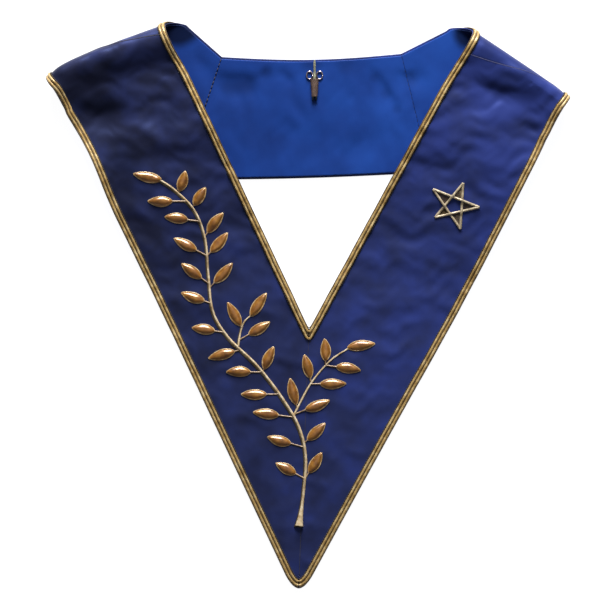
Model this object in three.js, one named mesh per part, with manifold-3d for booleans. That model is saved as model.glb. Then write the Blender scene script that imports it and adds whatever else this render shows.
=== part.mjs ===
// A lodge officer's collar: a satin ribbon on a satin lining, edged with gold braid, lying face up.
// Millimetres, +X across the chest, +Y towards the neck, +Z up. The layout is worked out from the
// neck point, where the inner edges of the two arms meet, and the finished group is set on the floor.
import * as THREE from "three";
import { mergeVertices } from "three/addons/utils/BufferGeometryUtils.js";
import Module from "manifold-3d";

const wasm = await Module();
wasm.setup();

// Ribbon and its layers. braidRow is where the first and last columns of a grid lie, in braid widths.
const armWidth = 101.6;
const backWidth = 98;
const liningThickness = 0.9;
const faceThickness = 1.1;
const braidWidth = 5.8;
const braidThickness = 1.5;
const layerGap = 0.3;
const braidGap = 0.4;
const braidRow = 1.3;
const seamGap = 0.3;

// Lengths of the cut
const armLength = 278;
const neckDepth = 225;
const backLength = 147.3;
const backShift = 2;
const backTilt = 1;
const neckSag = 3.5;
const rimSag = 1.6;
const tipDrawn = 11;
const tipRounding = 26;

// Shoulder fold. The flat cloth runs on into it before it turns up, by the power pressed, and its neck
// edge has come over by the time that it is on top, by the power curlOver. The bow of the fold rises
// by the power bowRise from the neck edge and drops at the rim by bowDrop. Past the fold the cloth sinks
// into a valley over valleyRun and is out of it again over valleyRise.
const foldRadius = 8;
const fallLength = 200;
const pressed = 0.4;
const curlOver = 2.5;
const bowRise = 2;
const bowDrop = 14;
const valleyRun = 22;
const valleyRise = 60;

// Shares of an arm, from the fold down, over which the bow, the neck edge, the rim edge and the nip
// come in
const bowFade = 0.25;
const neckEase = 0.17;
const rimEase = 0.5;
const nipEase = 0.1;

// Soft waves that run across both arms
const waveHeight = 0.6;
const waveLength = 42;
const waveFrom = -60;
const waveTo = 190;
const waveFade = 60;

// Each arm leans out from the chest by spread, and reach is its length from the neck point to the
// fold, as a share of armLength. lowShare and topShare are its width low down and at the fold, as
// shares of the ribbon's. turn is the bend of the ribbon at the back corner and backShare its width
// there. drift is how far the neck edge moves towards the neck as it goes round the fold, rimReach the
// length of the rim side as a share of the arm, bow how far the fold swells between its two ends, and
// valley how far the cloth sinks past it.
// The rim is nipped in by nip, a share of the width, over nipRun about nipAlong, shares of the length.
// seamAtNeck and seamAtRim are how far round the fold the seam lies, where 1 is the top of it.
const sides = {
  left: {
    sign: -1,
    spread: 25.2,
    reach: 0.994,
    lowShare: 1.02,
    topShare: 1.04,
    turn: 39.3,
    backShare: 1.025,
    drift: 0.16,
    top: 0.02,
    rimReach: 1.003,
    bow: 9.3,
    valley: 8,
    nip: 0.03,
    nipAlong: 0.74,
    nipRun: 0.115,
    seamAtNeck: 0.94,
    seamAtRim: 0.48,
  },
  right: {
    sign: 1,
    spread: 28.6,
    reach: 1.005,
    lowShare: 0.98,
    topShare: 0.945,
    turn: 25.4,
    backShare: 1,
    drift: 0.18,
    top: 0.02,
    rimReach: 0.96,
    bow: 3,
    valley: 4,
    nip: -0.02,
    nipAlong: 0.4,
    nipRun: 0.45,
    seamAtNeck: 1.37,
    seamAtRim: 0.45,
  },
};

// Dents pressed into the arms below the fold: along is a share of the arm's length and across of its
// width, run and spread are shares of the width, and depth is a share of the fold's radius. A dent is
// steep towards the fold and runs out slowly down the arm, over dentRunOut times its spread.
const dentRunOut = 2.2;
const dents = [
  { side: "left", along: 0.805, across: 0.8, run: 0.28, spread: 0.11, slant: 9, depth: 0.78 },
  { side: "left", along: 0.78, across: 0.3, run: 0.2, spread: 0.07, slant: -3, depth: 0.32 },
  { side: "left", along: 0.645, across: 0.5, run: 0.5, spread: 0.07, slant: 20, depth: 0.2 },
  { side: "right", along: 0.88, across: 0.45, run: 0.3, spread: 0.07, slant: 20, depth: 0.3 },
  { side: "right", along: 0.82, across: 0.82, run: 0.14, spread: 0.07, slant: -20, depth: 0.3 },
  { side: "right", along: 0.6, across: 0.32, run: 0.24, spread: 0.06, slant: 12, depth: 0.2 },
];

// Embroidery
const stemWidth = 3;
const stemHeight = 1.6;
const stemTaper = 0.35;
const rootWidth = 7;
const rootShare = 0.07;
const stalkWidth = 1.3;
const stalkHeight = 0.9;
const leafLength = 20;
const leafWidth = 8.6;
const leafHeight = 2.2;
const leafBelly = 0.85;
const leafFullness = 0.75;
const leafPoint = 0.07;
const leafRise = 0.6;
const leafEdge = 0.3;
const shortStalk = 0.05;
const starCord = 2.2;
const starRise = 0.75;
const starWeave = 0.9;
const starCrossing = 0.38;
const starArch = 0.09;
const starReach = 20;
const starAlong = 0.526;
const starAcross = 0.552;

// Routes of the stems, in the directions of the arm that each lies on: along it and across it, both as
// shares of the ribbon's width. The main stem is measured from the neck point, and the other two from
// the place on the main stem that at gives, as a share of its length.
const stems = {
  main: {
    side: "left",
    thickness: 1,
    route: [
      { along: -1.409, across: 0.75 },
      { along: -1.163, across: 0.594 },
      { along: -0.917, across: 0.461 },
      { along: -0.684, across: 0.411 },
      { along: -0.424, across: 0.432 },
      { along: -0.082, across: 0.508 },
      { along: 0.222, across: 0.621 },
      { along: 0.446, across: 0.644 },
      { along: 0.739, across: 0.551 },
      { along: 1.026, across: 0.446 },
      { along: 1.259, across: 0.431 },
      { along: 1.478, across: 0.512 },
      { along: 1.587, across: 0.581 },
    ],
  },
  branch: {
    side: "right",
    thickness: 0.75,
    at: 0.284,
    route: [
      { along: 0, across: 0 },
      { along: 0.161, across: -0.006 },
      { along: 0.286, across: -0.004 },
      { along: 0.434, across: 0.019 },
      { along: 0.56, across: 0.056 },
      { along: 0.705, across: 0.134 },
    ],
  },
  sprig: {
    side: "left",
    thickness: 0.7,
    at: 0.508,
    route: [
      { along: 0, across: 0 },
      { along: 0.11, across: -0.077 },
      { along: 0.168, across: -0.138 },
      { along: 0.192, across: -0.21 },
    ],
  },
};

// Leaves, from the top of each stem down: at is the share of the stem where the stalk leaves it, lean
// the angle from the arm's own line, outwards positive, and stalk and length are shares of a leaf's
// usual length.
const leaves = [
  { stem: "main", at: 1, lean: 53, stalk: 0.03, length: 1.05 },
  { stem: "main", at: 0.94, lean: -43, stalk: 0.09, length: 0.85 },
  { stem: "main", at: 0.91, lean: 65, stalk: 0.6, length: 1 },
  { stem: "main", at: 0.89, lean: -59, stalk: 0.12, length: 0.85 },
  { stem: "main", at: 0.85, lean: 58, stalk: 0.5, length: 0.95 },
  { stem: "main", at: 0.81, lean: -64, stalk: 0.19, length: 1.03 },
  { stem: "main", at: 0.76, lean: -67, stalk: 0.21, length: 1.05 },
  { stem: "main", at: 0.76, lean: 37, stalk: 0.5, length: 1.03 },
  { stem: "main", at: 0.69, lean: 29, stalk: 0.4, length: 1 },
  { stem: "main", at: 0.68, lean: -68, stalk: 0.29, length: 1.08 },
  { stem: "main", at: 0.64, lean: 45, stalk: 0.3, length: 1 },
  { stem: "main", at: 0.56, lean: 57, stalk: 0.4, length: 0.94 },
  { stem: "main", at: 0.5, lean: 80, stalk: 0.26, length: 1.1 },
  { stem: "main", at: 0.42, lean: -49, stalk: 0.14, length: 0.99 },
  { stem: "main", at: 0.42, lean: 65, stalk: 0.5, length: 0.99 },
  { stem: "main", at: 0.35, lean: 65, stalk: 0.55, length: 1.03 },
  { stem: "main", at: 0.28, lean: 58, stalk: 0.65, length: 1.05 },
  { stem: "main", at: 0.21, lean: -72, stalk: 0.21, length: 0.99 },
  { stem: "main", at: 0.2, lean: 49, stalk: 0.59, length: 0.99 },
  { stem: "main", at: 0.12, lean: -58, stalk: 0.29, length: 0.98 },
  { stem: "main", at: 0.12, lean: 37, stalk: 0.43, length: 0.92 },
  { stem: "branch", at: 1, lean: 53, stalk: 0.03, length: 1.03 },
  { stem: "branch", at: 0.67, lean: -31, stalk: 0.18, length: 0.9 },
  { stem: "branch", at: 0.67, lean: 70, stalk: 0.44, length: 1 },
  { stem: "branch", at: 0.42, lean: -43, stalk: 0.2, length: 0.98 },
  { stem: "branch", at: 0.4, lean: 61, stalk: 0.39, length: 1.06 },
  { stem: "branch", at: 0.09, lean: -42, stalk: 0.18, length: 1.09 },
  { stem: "branch", at: 0.02, lean: 40, stalk: 0.48, length: 1.06 },
  { stem: "sprig", at: 1, lean: -60, stalk: 0.03, length: 1.08 },
  { stem: "sprig", at: 0.55, lean: 4, stalk: 0.1, length: 1.09 },
  { stem: "sprig", at: 0.2, lean: -85, stalk: 0.46, length: 0.99 },
];

// The star's five tips, from the one that points to +X: angle in the picture, and reach as a share of
// the star's usual reach.
const starTips = [
  { angle: -4.6, reach: 1.02 },
  { angle: 68.4, reach: 0.975 },
  { angle: 143, reach: 1.095 },
  { angle: 212, reach: 0.93 },
  { angle: 284.3, reach: 1 },
];

// Hook at the middle of the back neck edge. eyeTall is an eye's height for its width, and shoulderIn
// and shoulderDown say where the shank leaves it, in eye radii.
const hookWire = 1.2;
const eyeRadius = 2.5;
const eyeTall = 1.25;
const shoulderIn = 0.8;
const shoulderDown = 0.7;
const shankDown = 1.8;
const shankMiddle = 0.6;
const hookBend = 1.1;
const billRise = 2.2;
const eyeSpacing = 4.1;
const hookShank = 17;
const hookTop = 2;
const hookTip = 1.3;
const hookBill = 8;
const hookInset = 13;
const hookAlong = 0.517;
const threadWidth = 3;
const threadThickness = 1;
const threadNarrow = 0.6;
const threadTop = 0.7;
const threadStart = 0.5;
const threadRise = 3.5;
const threadFoot = 1;
const threadTail = 2;

const radians = THREE.MathUtils.degToRad;
const mix = THREE.MathUtils.lerp;
const smooth = (x) => THREE.MathUtils.smoothstep(x, 0, 1);

// Heights: the back lies face down on its braid, so its lining shows on top of it.
const faceStart = liningThickness + layerGap;
const braidStart = faceStart + faceThickness + braidGap;
const stackHeight = braidStart + braidThickness;
const crownHeight = stackHeight + 2 * foldRadius;

for (const side of Object.values(sides)) {
  const angle = radians(side.spread);
  side.up = new THREE.Vector2(side.sign * Math.sin(angle), Math.cos(angle));
  side.out = new THREE.Vector2(side.sign * Math.cos(angle), -Math.sin(angle));
  side.crown = armLength * side.reach - foldRadius - faceStart - faceThickness;
}

// A place on an arm, in millimetres along it from the neck point and across it from the neck edge.
function onArm(side, along, across) {
  return side.up.clone().multiplyScalar(along).addScaledVector(side.out, across);
}

// Where two straight edges meet, each given by a point and a direction.
function meeting(pointA, directionA, pointB, directionB) {
  const step = pointB.clone().sub(pointA).cross(directionB) / directionA.cross(directionB);
  return pointA.clone().addScaledVector(directionA, step);
}

// Front point: the two rim edges meet there, and the braid rounds it off.
const sharpTip = meeting(
  onArm(sides.left, 0, sides.left.lowShare * armWidth),
  sides.left.up,
  onArm(sides.right, 0, sides.right.lowShare * armWidth),
  sides.right.up,
);
const towardsNeck = sharpTip.clone().negate().normalize();

// Back corners of the neck edge and, across the mitre seams, of the rim edge.
const tilt = radians(backTilt);
const backRun = new THREE.Vector2(Math.cos(tilt), Math.sin(tilt));
const backDown = new THREE.Vector2(backRun.y, -backRun.x);
for (const side of Object.values(sides)) {
  const half = radians(side.turn / 2);
  side.corner = new THREE.Vector2(backShift, neckDepth)
    .addScaledVector(backRun, (side.sign * backLength) / 2);
  side.rimCorner = side.corner.clone()
    .addScaledVector(backDown, backWidth * side.backShare)
    .addScaledVector(backRun, side.sign * backWidth * side.backShare * Math.tan(half));
}

// Height of the lining's underside over the front, at a place on an arm: it lies on the floor near
// the front point, climbs over the back panel and rolls into the fold.
function lift(side, along, across) {
  const crown = side.crown + (side.rimReach - 1) * armLength * (across / armWidth);
  const fall = (crown - along) / fallLength;
  const slope = crownHeight * (1 - smooth(fall));
  const past = crown - along - valleyRun;
  const valley = side.valley * smooth(1 + past / valleyRun) * (1 - smooth(past / valleyRise));
  const start = smooth((along - waveFrom) / waveFade) * smooth((waveTo - along) / waveFade);
  const down = along * side.up.y + across * side.out.y;
  const wave = waveHeight * start * (0.5 - 0.5 * Math.cos((2 * Math.PI * down) / waveLength));
  return slope + wave - valley - dentAt(side, along, across);
}

function dentAt(side, along, across) {
  let total = 0;
  for (const dent of dents) {
    if (sides[dent.side] !== side) continue;
    const slant = radians(dent.slant);
    const da = along - dent.along * armLength;
    const dc = across - dent.across * armWidth;
    const lengthwise = (dc * Math.cos(slant) + da * Math.sin(slant)) / (dent.run * armWidth);
    const sideways = (da * Math.cos(slant) - dc * Math.sin(slant)) / (dent.spread * armWidth);
    const eased = sideways / (sideways < 0 ? dentRunOut : 1);
    total += dent.depth * foldRadius * Math.exp(-(lengthwise ** 2) - eased ** 2);
  }
  return total * smooth((side.crown - along) / (1.5 * foldRadius));
}

// The ribbon of one side as a surface. reach runs 0 to 1 from the back corner to the foot of the
// fold, 1 to 2 round the fold and 2 to 3 down the arm to the front mitre. share runs across it from
// the neck edge to the rim edge. It is the inside of the lining.
function edgePlace(side, edge, reach) {
  const rim = edge === "rim";
  const crown = rim ? side.crown + (side.rimReach - 1) * armLength : side.crown;
  const topAcross = (rim ? side.topShare : side.top) * armWidth;
  const footAcross = (rim ? side.topShare : -side.drift) * armWidth;
  if (reach <= 1) {
    const foot = onArm(side, crown, footAcross);
    const start = rim ? side.rimCorner : side.corner;
    const seam = (seamGap / 2) * (1 - reach) / Math.cos(radians(side.turn / 2));
    const place = start.clone().lerp(foot, reach).addScaledVector(backRun, side.sign * seam);
    return new THREE.Vector3(place.x, place.y, stackHeight);
  }
  if (reach <= 2) {
    const round = reach - 1;
    const angle = Math.PI * (round - 0.5);
    const along = crown + foldRadius * Math.cos(angle) ** (round < 0.5 ? pressed : 1);
    const over = 1 - (1 - round) ** curlOver;
    const place = onArm(side, along, mix(footAcross, topAcross, over));
    return new THREE.Vector3(place.x, place.y, stackHeight + foldRadius * (1 + Math.sin(angle)));
  }
  return armEdge(side, rim, crown, topAcross, reach - 2);
}

function armEdge(side, rim, crown, topAcross, share) {
  const tipAlong = sharpTip.dot(side.up);
  const along = mix(crown, rim ? tipAlong : 0, share);
  const across = mix(topAcross, rim ? side.lowShare * armWidth : 0, smooth(share / (rim ? rimEase : neckEase)));
  const nipped = (along / armLength - side.nipAlong) / side.nipRun;
  const nip = rim ? side.nip * armWidth * Math.exp(-(nipped ** 2)) * smooth(share / nipEase) : 0;
  const place = onArm(side, along, across - nip);
  if (rim) {
    const near = Math.max(0, 1 - (along - tipAlong) / tipRounding);
    place.addScaledVector(towardsNeck, tipDrawn * near ** 2);
  }
  place.x += side.sign * (seamGap / 2) * share;
  return new THREE.Vector3(place.x, place.y, 0);
}

function ribbonInside(side, reach, share) {
  const neck = edgePlace(side, "neck", reach);
  const rim = edgePlace(side, "rim", reach);
  const place = neck.lerp(rim, share);
  const folded = reach <= 1 ? 0 : reach <= 2 ? smooth(reach - 1) : smooth(1 - (reach - 2) / bowFade);
  const swell = side.bow * folded * (1 - (1 - share) ** bowRise) * (1 - share ** bowDrop);
  place.x += side.up.x * swell;
  place.y += side.up.y * swell;
  if (reach > 2) {
    const flat = new THREE.Vector2(place.x, place.y);
    place.z = lift(side, flat.dot(side.up) - swell, flat.dot(side.out));
  }
  return place;
}

// The same surface moved out by a height, so that each layer lies on the one inside it.
function ribbonAt(side, reach, share, height) {
  const step = 1e-3;
  const here = ribbonInside(side, reach, share);
  const low = reach - step < 0 ? reach : reach - step;
  const high = reach + step > 3 ? reach : reach + step;
  const left = Math.max(0, share - step);
  const right = Math.min(1, share + step);
  const alongway = ribbonInside(side, high, share).sub(ribbonInside(side, low, share));
  const crossway = ribbonInside(side, reach, right).sub(ribbonInside(side, reach, left));
  const normal = alongway.cross(crossway).multiplyScalar(side.sign).normalize();
  return here.addScaledVector(normal, height);
}

// The back panel, which lies face down: run goes 0 to 1 from the left corner to the right one.
function backAt(run, share, height) {
  const inset = seamGap / 2 / backLength;
  const neck = sides.left.corner.clone().lerp(sides.right.corner, mix(inset, 1 - inset, run));
  const rim = sides.left.rimCorner.clone().lerp(sides.right.rimCorner, mix(inset, 1 - inset, run));
  const place = neck.lerp(rim, share);
  place.addScaledVector(backDown, mix(neckSag, rimSag, share) * Math.sin(Math.PI * run));
  return new THREE.Vector3(place.x, place.y, stackHeight - height);
}

// Solids
function material(color, roughness, metalness) {
  return new THREE.MeshStandardMaterial({ color, roughness, metalness });
}

const faceSatin = material(0x26306c, 0.5, 0);
const liningSatin = material(0x1f47a4, 0.45, 0);
const goldBraid = material(0xb9a064, 0.45, 0.6);
const goldThread = material(0xb07a3c, 0.4, 0.7);
const hookSteel = material(0xb8aab0, 0.3, 1);
const sewingThread = material(0x6b5344, 0.9, 0);

// One closed skin over a row of sections. Each section lists as many points on its lower side as on
// its upper side, going round, so that the two ends close in strips.
function loft(sections) {
  const around = sections[0].length;
  const corners = sections.flat().flatMap((point) => point.toArray());
  const faces = [];
  const quad = (a, b, c, d) => faces.push(a, b, c, a, c, d);
  for (let row = 0; row + 1 < sections.length; row += 1) {
    for (let i = 0; i < around; i += 1) {
      const next = (i + 1) % around;
      const a = row * around + i;
      const b = row * around + next;
      if (i < around / 2) quad(a, b, b + around, a + around);
      else quad(b, b + around, a + around, a);
    }
  }
  const last = (sections.length - 1) * around;
  for (let i = 0; i + 1 < around / 2; i += 1) {
    const across = around - 1 - i;
    quad(i, across, across - 1, i + 1);
    quad(last + i, last + i + 1, last + across - 1, last + across);
  }
  const geometry = new THREE.BufferGeometry();
  geometry.setAttribute("position", new THREE.Float32BufferAttribute(corners, 3));
  geometry.setIndex(volumeOf(corners, faces) < 0 ? faces.reverse() : faces);
  return geometry;
}

function volumeOf(corners, faces) {
  const point = (i) => new THREE.Vector3().fromArray(corners, 3 * i);
  let volume = 0;
  for (let i = 0; i < faces.length; i += 3) {
    volume += point(faces[i]).dot(point(faces[i + 1]).cross(point(faces[i + 2])));
  }
  return volume;
}

function solidOf(geometry) {
  const bare = geometry.clone();
  bare.deleteAttribute("normal");
  bare.deleteAttribute("uv");
  const merged = mergeVertices(bare, 1e-4);
  return new wasm.Manifold(
    new wasm.Mesh({
      numProp: 3,
      vertProperties: merged.attributes.position.array,
      triVerts: new Uint32Array(merged.index.array),
    }),
  );
}

function geometryOf(solid) {
  const mesh = solid.getMesh();
  const geometry = new THREE.BufferGeometry();
  geometry.setAttribute("position", new THREE.BufferAttribute(mesh.vertProperties, 3));
  geometry.setIndex(new THREE.BufferAttribute(mesh.triVerts, 1));
  return geometry;
}

const joined = (geometries) => {
  const [first, ...rest] = geometries.map(solidOf);
  return geometryOf(rest.reduce((sum, solid) => sum.add(solid), first));
};

const collar = new THREE.Group();

function addPiece(name, geometry, finish) {
  const piece = new THREE.Mesh(geometry, finish);
  piece.name = name;
  collar.add(piece);
}

// The seam on the fold, where the shoulder piece ends and the arm begins.
const seamStep = seamGap / 2 / (Math.PI * foldRadius);
const flatRows = 0.3;
const foldRows = 0.2;
const pastFold = 0.02;
const rowCrowding = 1.25;

function seamReach(side, share, step) {
  const round = mix(side.seamAtNeck, side.seamAtRim, share) + step;
  return round <= 1 ? 1 + round : 2 + ((round - 1) * Math.PI * foldRadius) / armLength;
}

function shoulderReach(side, row, share) {
  const end = seamReach(side, share, -seamStep);
  return row < flatRows ? row / flatRows : mix(1, end, (row - flatRows) / (1 - flatRows));
}

function armReach(side, row, share) {
  const start = seamReach(side, share, seamStep);
  const level = Math.max(2, start) + pastFold;
  if (row < foldRows) return mix(start, level, row / foldRows);
  return mix(level, 3, ((row - foldRows) / (1 - foldRows)) ** rowCrowding);
}

// A piece of ribbon as a grid of rows and columns. Every layer and braid of it takes its places from
// the same grid, so each lies flat on the one inside it. The first and last columns are narrow ones,
// under the braids.
class Ribbon {
  constructor(at, reachAt, rows, columns) {
    const margin = (braidRow * braidWidth) / armWidth;
    this.at = at;
    this.reachAt = reachAt;
    this.rows = rows;
    this.shares = [0];
    for (let i = 0; i + 1 < columns; i += 1) {
      this.shares.push(mix(margin, 1 - margin, i / (columns - 2)));
    }
    this.shares.push(1);
  }

  node(row, share, height) {
    return this.at(this.reachAt(row / this.rows, share), share, height);
  }

  place(row, share, height) {
    const next = Math.max(1, this.shares.findIndex((s) => s >= share));
    const [low, high] = [this.shares[next - 1], this.shares[next]];
    const near = this.node(row, low, height);
    return near.lerp(this.node(row, high, height), (share - low) / (high - low));
  }

  layer(low, high) {
    const sections = [];
    for (let row = 0; row <= this.rows; row += 1) {
      const lower = this.shares.map((share) => this.node(row, share, low));
      const upper = this.shares.map((share) => this.node(row, share, high));
      sections.push([...lower, ...upper.reverse()]);
    }
    return loft(sections);
  }
}

const grids = {
  back: { rows: 6, columns: 4 },
  shoulder: { rows: 9, columns: 5 },
  arm: { rows: 25, columns: 6 },
};
const { back, shoulder, arm } = grids;
const ribbons = { back: new Ribbon(backAt, (row) => row, back.rows, back.columns) };
for (const [key, side] of Object.entries(sides)) {
  const at = (reach, share, height) => ribbonAt(side, reach, share, height);
  const onShoulder = (row, share) => shoulderReach(side, row, share);
  const onFront = (row, share) => armReach(side, row, share);
  ribbons[`shoulder_${key}`] = new Ribbon(at, onShoulder, shoulder.rows, shoulder.columns);
  ribbons[`arm_${key}`] = new Ribbon(at, onFront, arm.rows, arm.columns);
}

function addCloth(name, low, high, finish) {
  for (const [key, ribbon] of Object.entries(ribbons)) {
    addPiece(`${name}_${key}`, ribbon.layer(low, high), finish);
  }
}

// Braid: two rounded strands side by side, laid along one edge at its own width. Where the rows of
// the ribbon meet the edge at a slant, the braid takes a longer share of them.
const braidProfile = [
  { in: 0, up: 0.6 },
  { in: 0.3, up: 1 },
  { in: 0.7, up: 1 },
  { in: 1, up: 0.6 },
];

function braidSection(ribbon, row, edge) {
  const inward = edge === 0 ? 1 : -1;
  const sample = 0.01;
  const here = ribbon.place(row, edge, 0);
  const beside = ribbon.place(row + (row > 0 ? -1 : 1), edge, 0).sub(here).normalize();
  const across = ribbon.place(row, edge + sample * inward, 0).sub(here);
  const share = (sample * inward * braidWidth) / beside.cross(across).length();
  const point = ({ in: along }, up) => {
    return ribbon.place(row, edge + share * along, braidStart + braidThickness * up);
  };
  const lower = braidProfile.map((p) => point(p, 0));
  const upper = braidProfile.map((p) => point(p, p.up));
  return [...lower, ...upper.reverse()];
}

const braidSections = (ribbon, edge) =>
  Array.from({ length: ribbon.rows + 1 }, (_, row) => braidSection(ribbon, row, edge));

function addBraids() {
  for (const [edge, name] of ["neck", "rim"].entries()) {
    addPiece(`braid_${name}_back`, loft(braidSections(ribbons.back, edge)), goldBraid);
    for (const key of Object.keys(sides)) {
      const shoulder = braidSections(ribbons[`shoulder_${key}`], edge);
      const arm = braidSections(ribbons[`arm_${key}`], edge);
      addPiece(`braid_${name}_${key}`, loft([...shoulder, ...arm]), goldBraid);
    }
  }
}

// Embroidery lies on the face, whichever arm is under it.
const downwards = new THREE.Vector3(0, 0, -1);

function faceTop(x, y) {
  const faces = ["face_arm_left", "face_arm_right"].map((name) => collar.getObjectByName(name));
  const above = new THREE.Vector3(x, y, 2 * crownHeight);
  const [hit] = new THREE.Raycaster(above, downwards).intersectObjects(faces);
  if (hit) return hit.point.z;
  const place = new THREE.Vector2(x, y);
  const side = sharpTip.cross(place) > 0 ? sides.right : sides.left;
  return lift(side, place.dot(side.up), place.dot(side.out)) + faceStart + faceThickness;
}

const roundSection = [
  [-0.7, 0],
  [0, 0],
  [0.7, 0],
  [1, 0.5],
  [0, 1],
  [-1, 0.5],
];
const flatSection = [
  [-1, 0],
  [1, 0],
  [0.6, 1],
  [-0.6, 1],
];
const leafSection = [
  [-1, 0],
  [0, 0],
  [1, 0],
  [1, 0.3],
  [0, 1],
  [-1, 0.3],
];

// A worked shape laid along a flat curve, with its half width and height given along it.
function laid(curve, section, steps, halfWidth, height) {
  const sections = [];
  for (let i = 0; i <= steps; i += 1) {
    const u = i / steps;
    const middle = curve.getPointAt(u);
    const ahead = curve.getTangentAt(u);
    sections.push(
      section.map(([across, up]) => {
        const x = middle.x - ahead.y * across * halfWidth(u);
        const y = middle.y + ahead.x * across * halfWidth(u);
        return new THREE.Vector3(x, y, faceTop(x, y) + layerGap + up * height(u));
      }),
    );
  }
  return loft(sections);
}

function stemCurve(stem) {
  const side = sides[stem.side];
  const foot = stem.at ? stems.main.curve.getPointAt(stem.at) : new THREE.Vector3();
  return new THREE.CatmullRomCurve3(
    stem.route.map(({ along, across }) => {
      const place = onArm(side, along * armWidth, across * armWidth);
      return new THREE.Vector3(foot.x + place.x, foot.y + place.y, 0);
    }),
  );
}

// Where a leaf's stalk leaves the stem, and the way that the leaf points.
function leafPlace(leaf) {
  const stem = stems[leaf.stem];
  const side = sides[stem.side];
  const foot = stem.curve.getPointAt(leaf.at);
  const lean = radians(leaf.lean);
  const way = onArm(side, Math.cos(lean), Math.sin(lean));
  return { foot, way: new THREE.Vector3(way.x, way.y, 0) };
}

function stemGeometry(name, grow) {
  const stem = stems[name];
  const isMain = name === "main";
  const half = (u) => {
    const root = isMain ? Math.max(0, 1 - u / rootShare) ** 2 * (rootWidth - stemWidth) : 0;
    return (stem.thickness * stemWidth * (1 - stemTaper * u) + root) / 2 + grow;
  };
  const height = () => stemHeight * mix(0.4, 1, stem.thickness) + 3 * grow;
  const steps = isMain ? 24 : 6;
  return laid(stem.curve, roundSection, steps, half, height);
}

function stalkGeometry(leaf) {
  const { foot, way } = leafPlace(leaf);
  const end = foot.clone().addScaledVector(way, leaf.stalk * leafLength - layerGap);
  const line = new THREE.LineCurve3(foot, end);
  return laid(line, flatSection, 1, () => stalkWidth / 2, () => stalkHeight);
}

function leafGeometry(leaf) {
  const { foot, way } = leafPlace(leaf);
  const base = foot.clone().addScaledVector(way, leaf.stalk * leafLength);
  const tip = base.clone().addScaledVector(way, leaf.length * leafLength);
  const line = new THREE.LineCurve3(base, tip);
  const belly = (u) => Math.max(leafPoint, Math.sin(Math.PI * u ** leafBelly) ** leafFullness);
  const half = (u) => (leafWidth / 2) * belly(u);
  const height = (u) => leafHeight * Math.max(leafEdge, belly(u) ** leafRise);
  return laid(line, leafSection, 4, half, height);
}

function addStems() {
  for (const stem of Object.values(stems)) stem.curve = stemCurve(stem);
  const taken = {};
  for (const name of Object.keys(stems)) {
    const own = leaves.filter((leaf) => leaf.stem === name && leaf.stalk > shortStalk);
    taken[name] = joined([stemGeometry(name, 0), ...own.map(stalkGeometry)]);
  }
  const clear = solidOf(stemGeometry("main", layerGap));
  const bodies = (name) => solidOf(taken[name]).subtract(clear).decompose();
  const largest = (name) => bodies(name).sort((a, b) => b.volume() - a.volume())[0];
  addPiece("stem_main", taken.main, goldThread);
  addPiece("stem_branch", geometryOf(largest("branch")), goldThread);
  addPiece("stem_sprig", geometryOf(largest("sprig")), goldThread);
}

function addLeaves() {
  leaves.forEach((leaf, i) => {
    addPiece(`leaf_${String(i + 1).padStart(2, "0")}`, leafGeometry(leaf), goldThread);
  });
}

// The star is one cord laid tip to tip. It passes over one strand and under the next, and each
// strand arches a little where it goes over.
function addStar() {
  const centre = onArm(sides.right, starAlong * armLength, starAcross * armWidth);
  const tips = starTips.map(({ angle, reach }) => {
    const way = radians(angle);
    return new THREE.Vector3(
      centre.x + reach * starReach * Math.cos(way),
      centre.y + reach * starReach * Math.sin(way),
      0,
    );
  });
  const strands = tips.map((tip, i) => {
    const line = new THREE.LineCurve3(tip, tips[(i + 2) % 5]);
    const arch = (u) => Math.exp(-(((u - starCrossing) / starArch) ** 2));
    const rise = (u) => starCord * starRise + starWeave * arch(u);
    return laid(line, roundSection, 6, () => starCord / 2, rise);
  });
  addPiece("star", joined(strands), goldThread);
}

// Hook: one wire, bent into two sewing eyes, a doubled shank and a bill that folds back over it.
function wire(points, closed) {
  const section = new THREE.Shape().absarc(0, 0, hookWire / 2, 0, 2 * Math.PI);
  const extrudePath = new THREE.CatmullRomCurve3(points, closed);
  return new THREE.ExtrudeGeometry(section, { steps: points.length * 2, extrudePath, curveSegments: 3 });
}

function addHook() {
  const middle = backAt(hookAlong, 0, 0);
  const base = stackHeight + layerGap + hookWire / 2;
  const eyeLine = middle.y - hookInset;
  const at = (x, y, z) => new THREE.Vector3(middle.x + x, eyeLine + y, base + z);
  const bend = hookWire * hookBend;
  const parts = [-1, 1].flatMap((sign) => {
    const eye = [0, 1, 2, 3, 4, 5].map((i) => {
      const angle = (i / 6) * 2 * Math.PI;
      return at(sign * eyeSpacing + eyeRadius * Math.cos(angle), eyeTall * eyeRadius * Math.sin(angle), 0);
    });
    const run = [
      at(sign * (eyeSpacing - eyeRadius * shoulderIn), -eyeRadius * shoulderDown, 0),
      at(sign * hookTop, -eyeRadius * shankDown, 0),
      at(sign * mix(hookTop, hookTip, 0.5), -hookShank * shankMiddle, 0),
      at(sign * hookTip, -hookShank, 0),
      at(sign * hookTip, -hookShank - bend, bend),
      at(sign * hookTip, -hookShank, 2 * bend),
      at(0, -hookShank + hookBill, billRise * bend),
    ];
    return [wire(eye, true), wire(run, false)];
  });
  addPiece("neck_hook", joined(parts), hookSteel);
}

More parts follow.
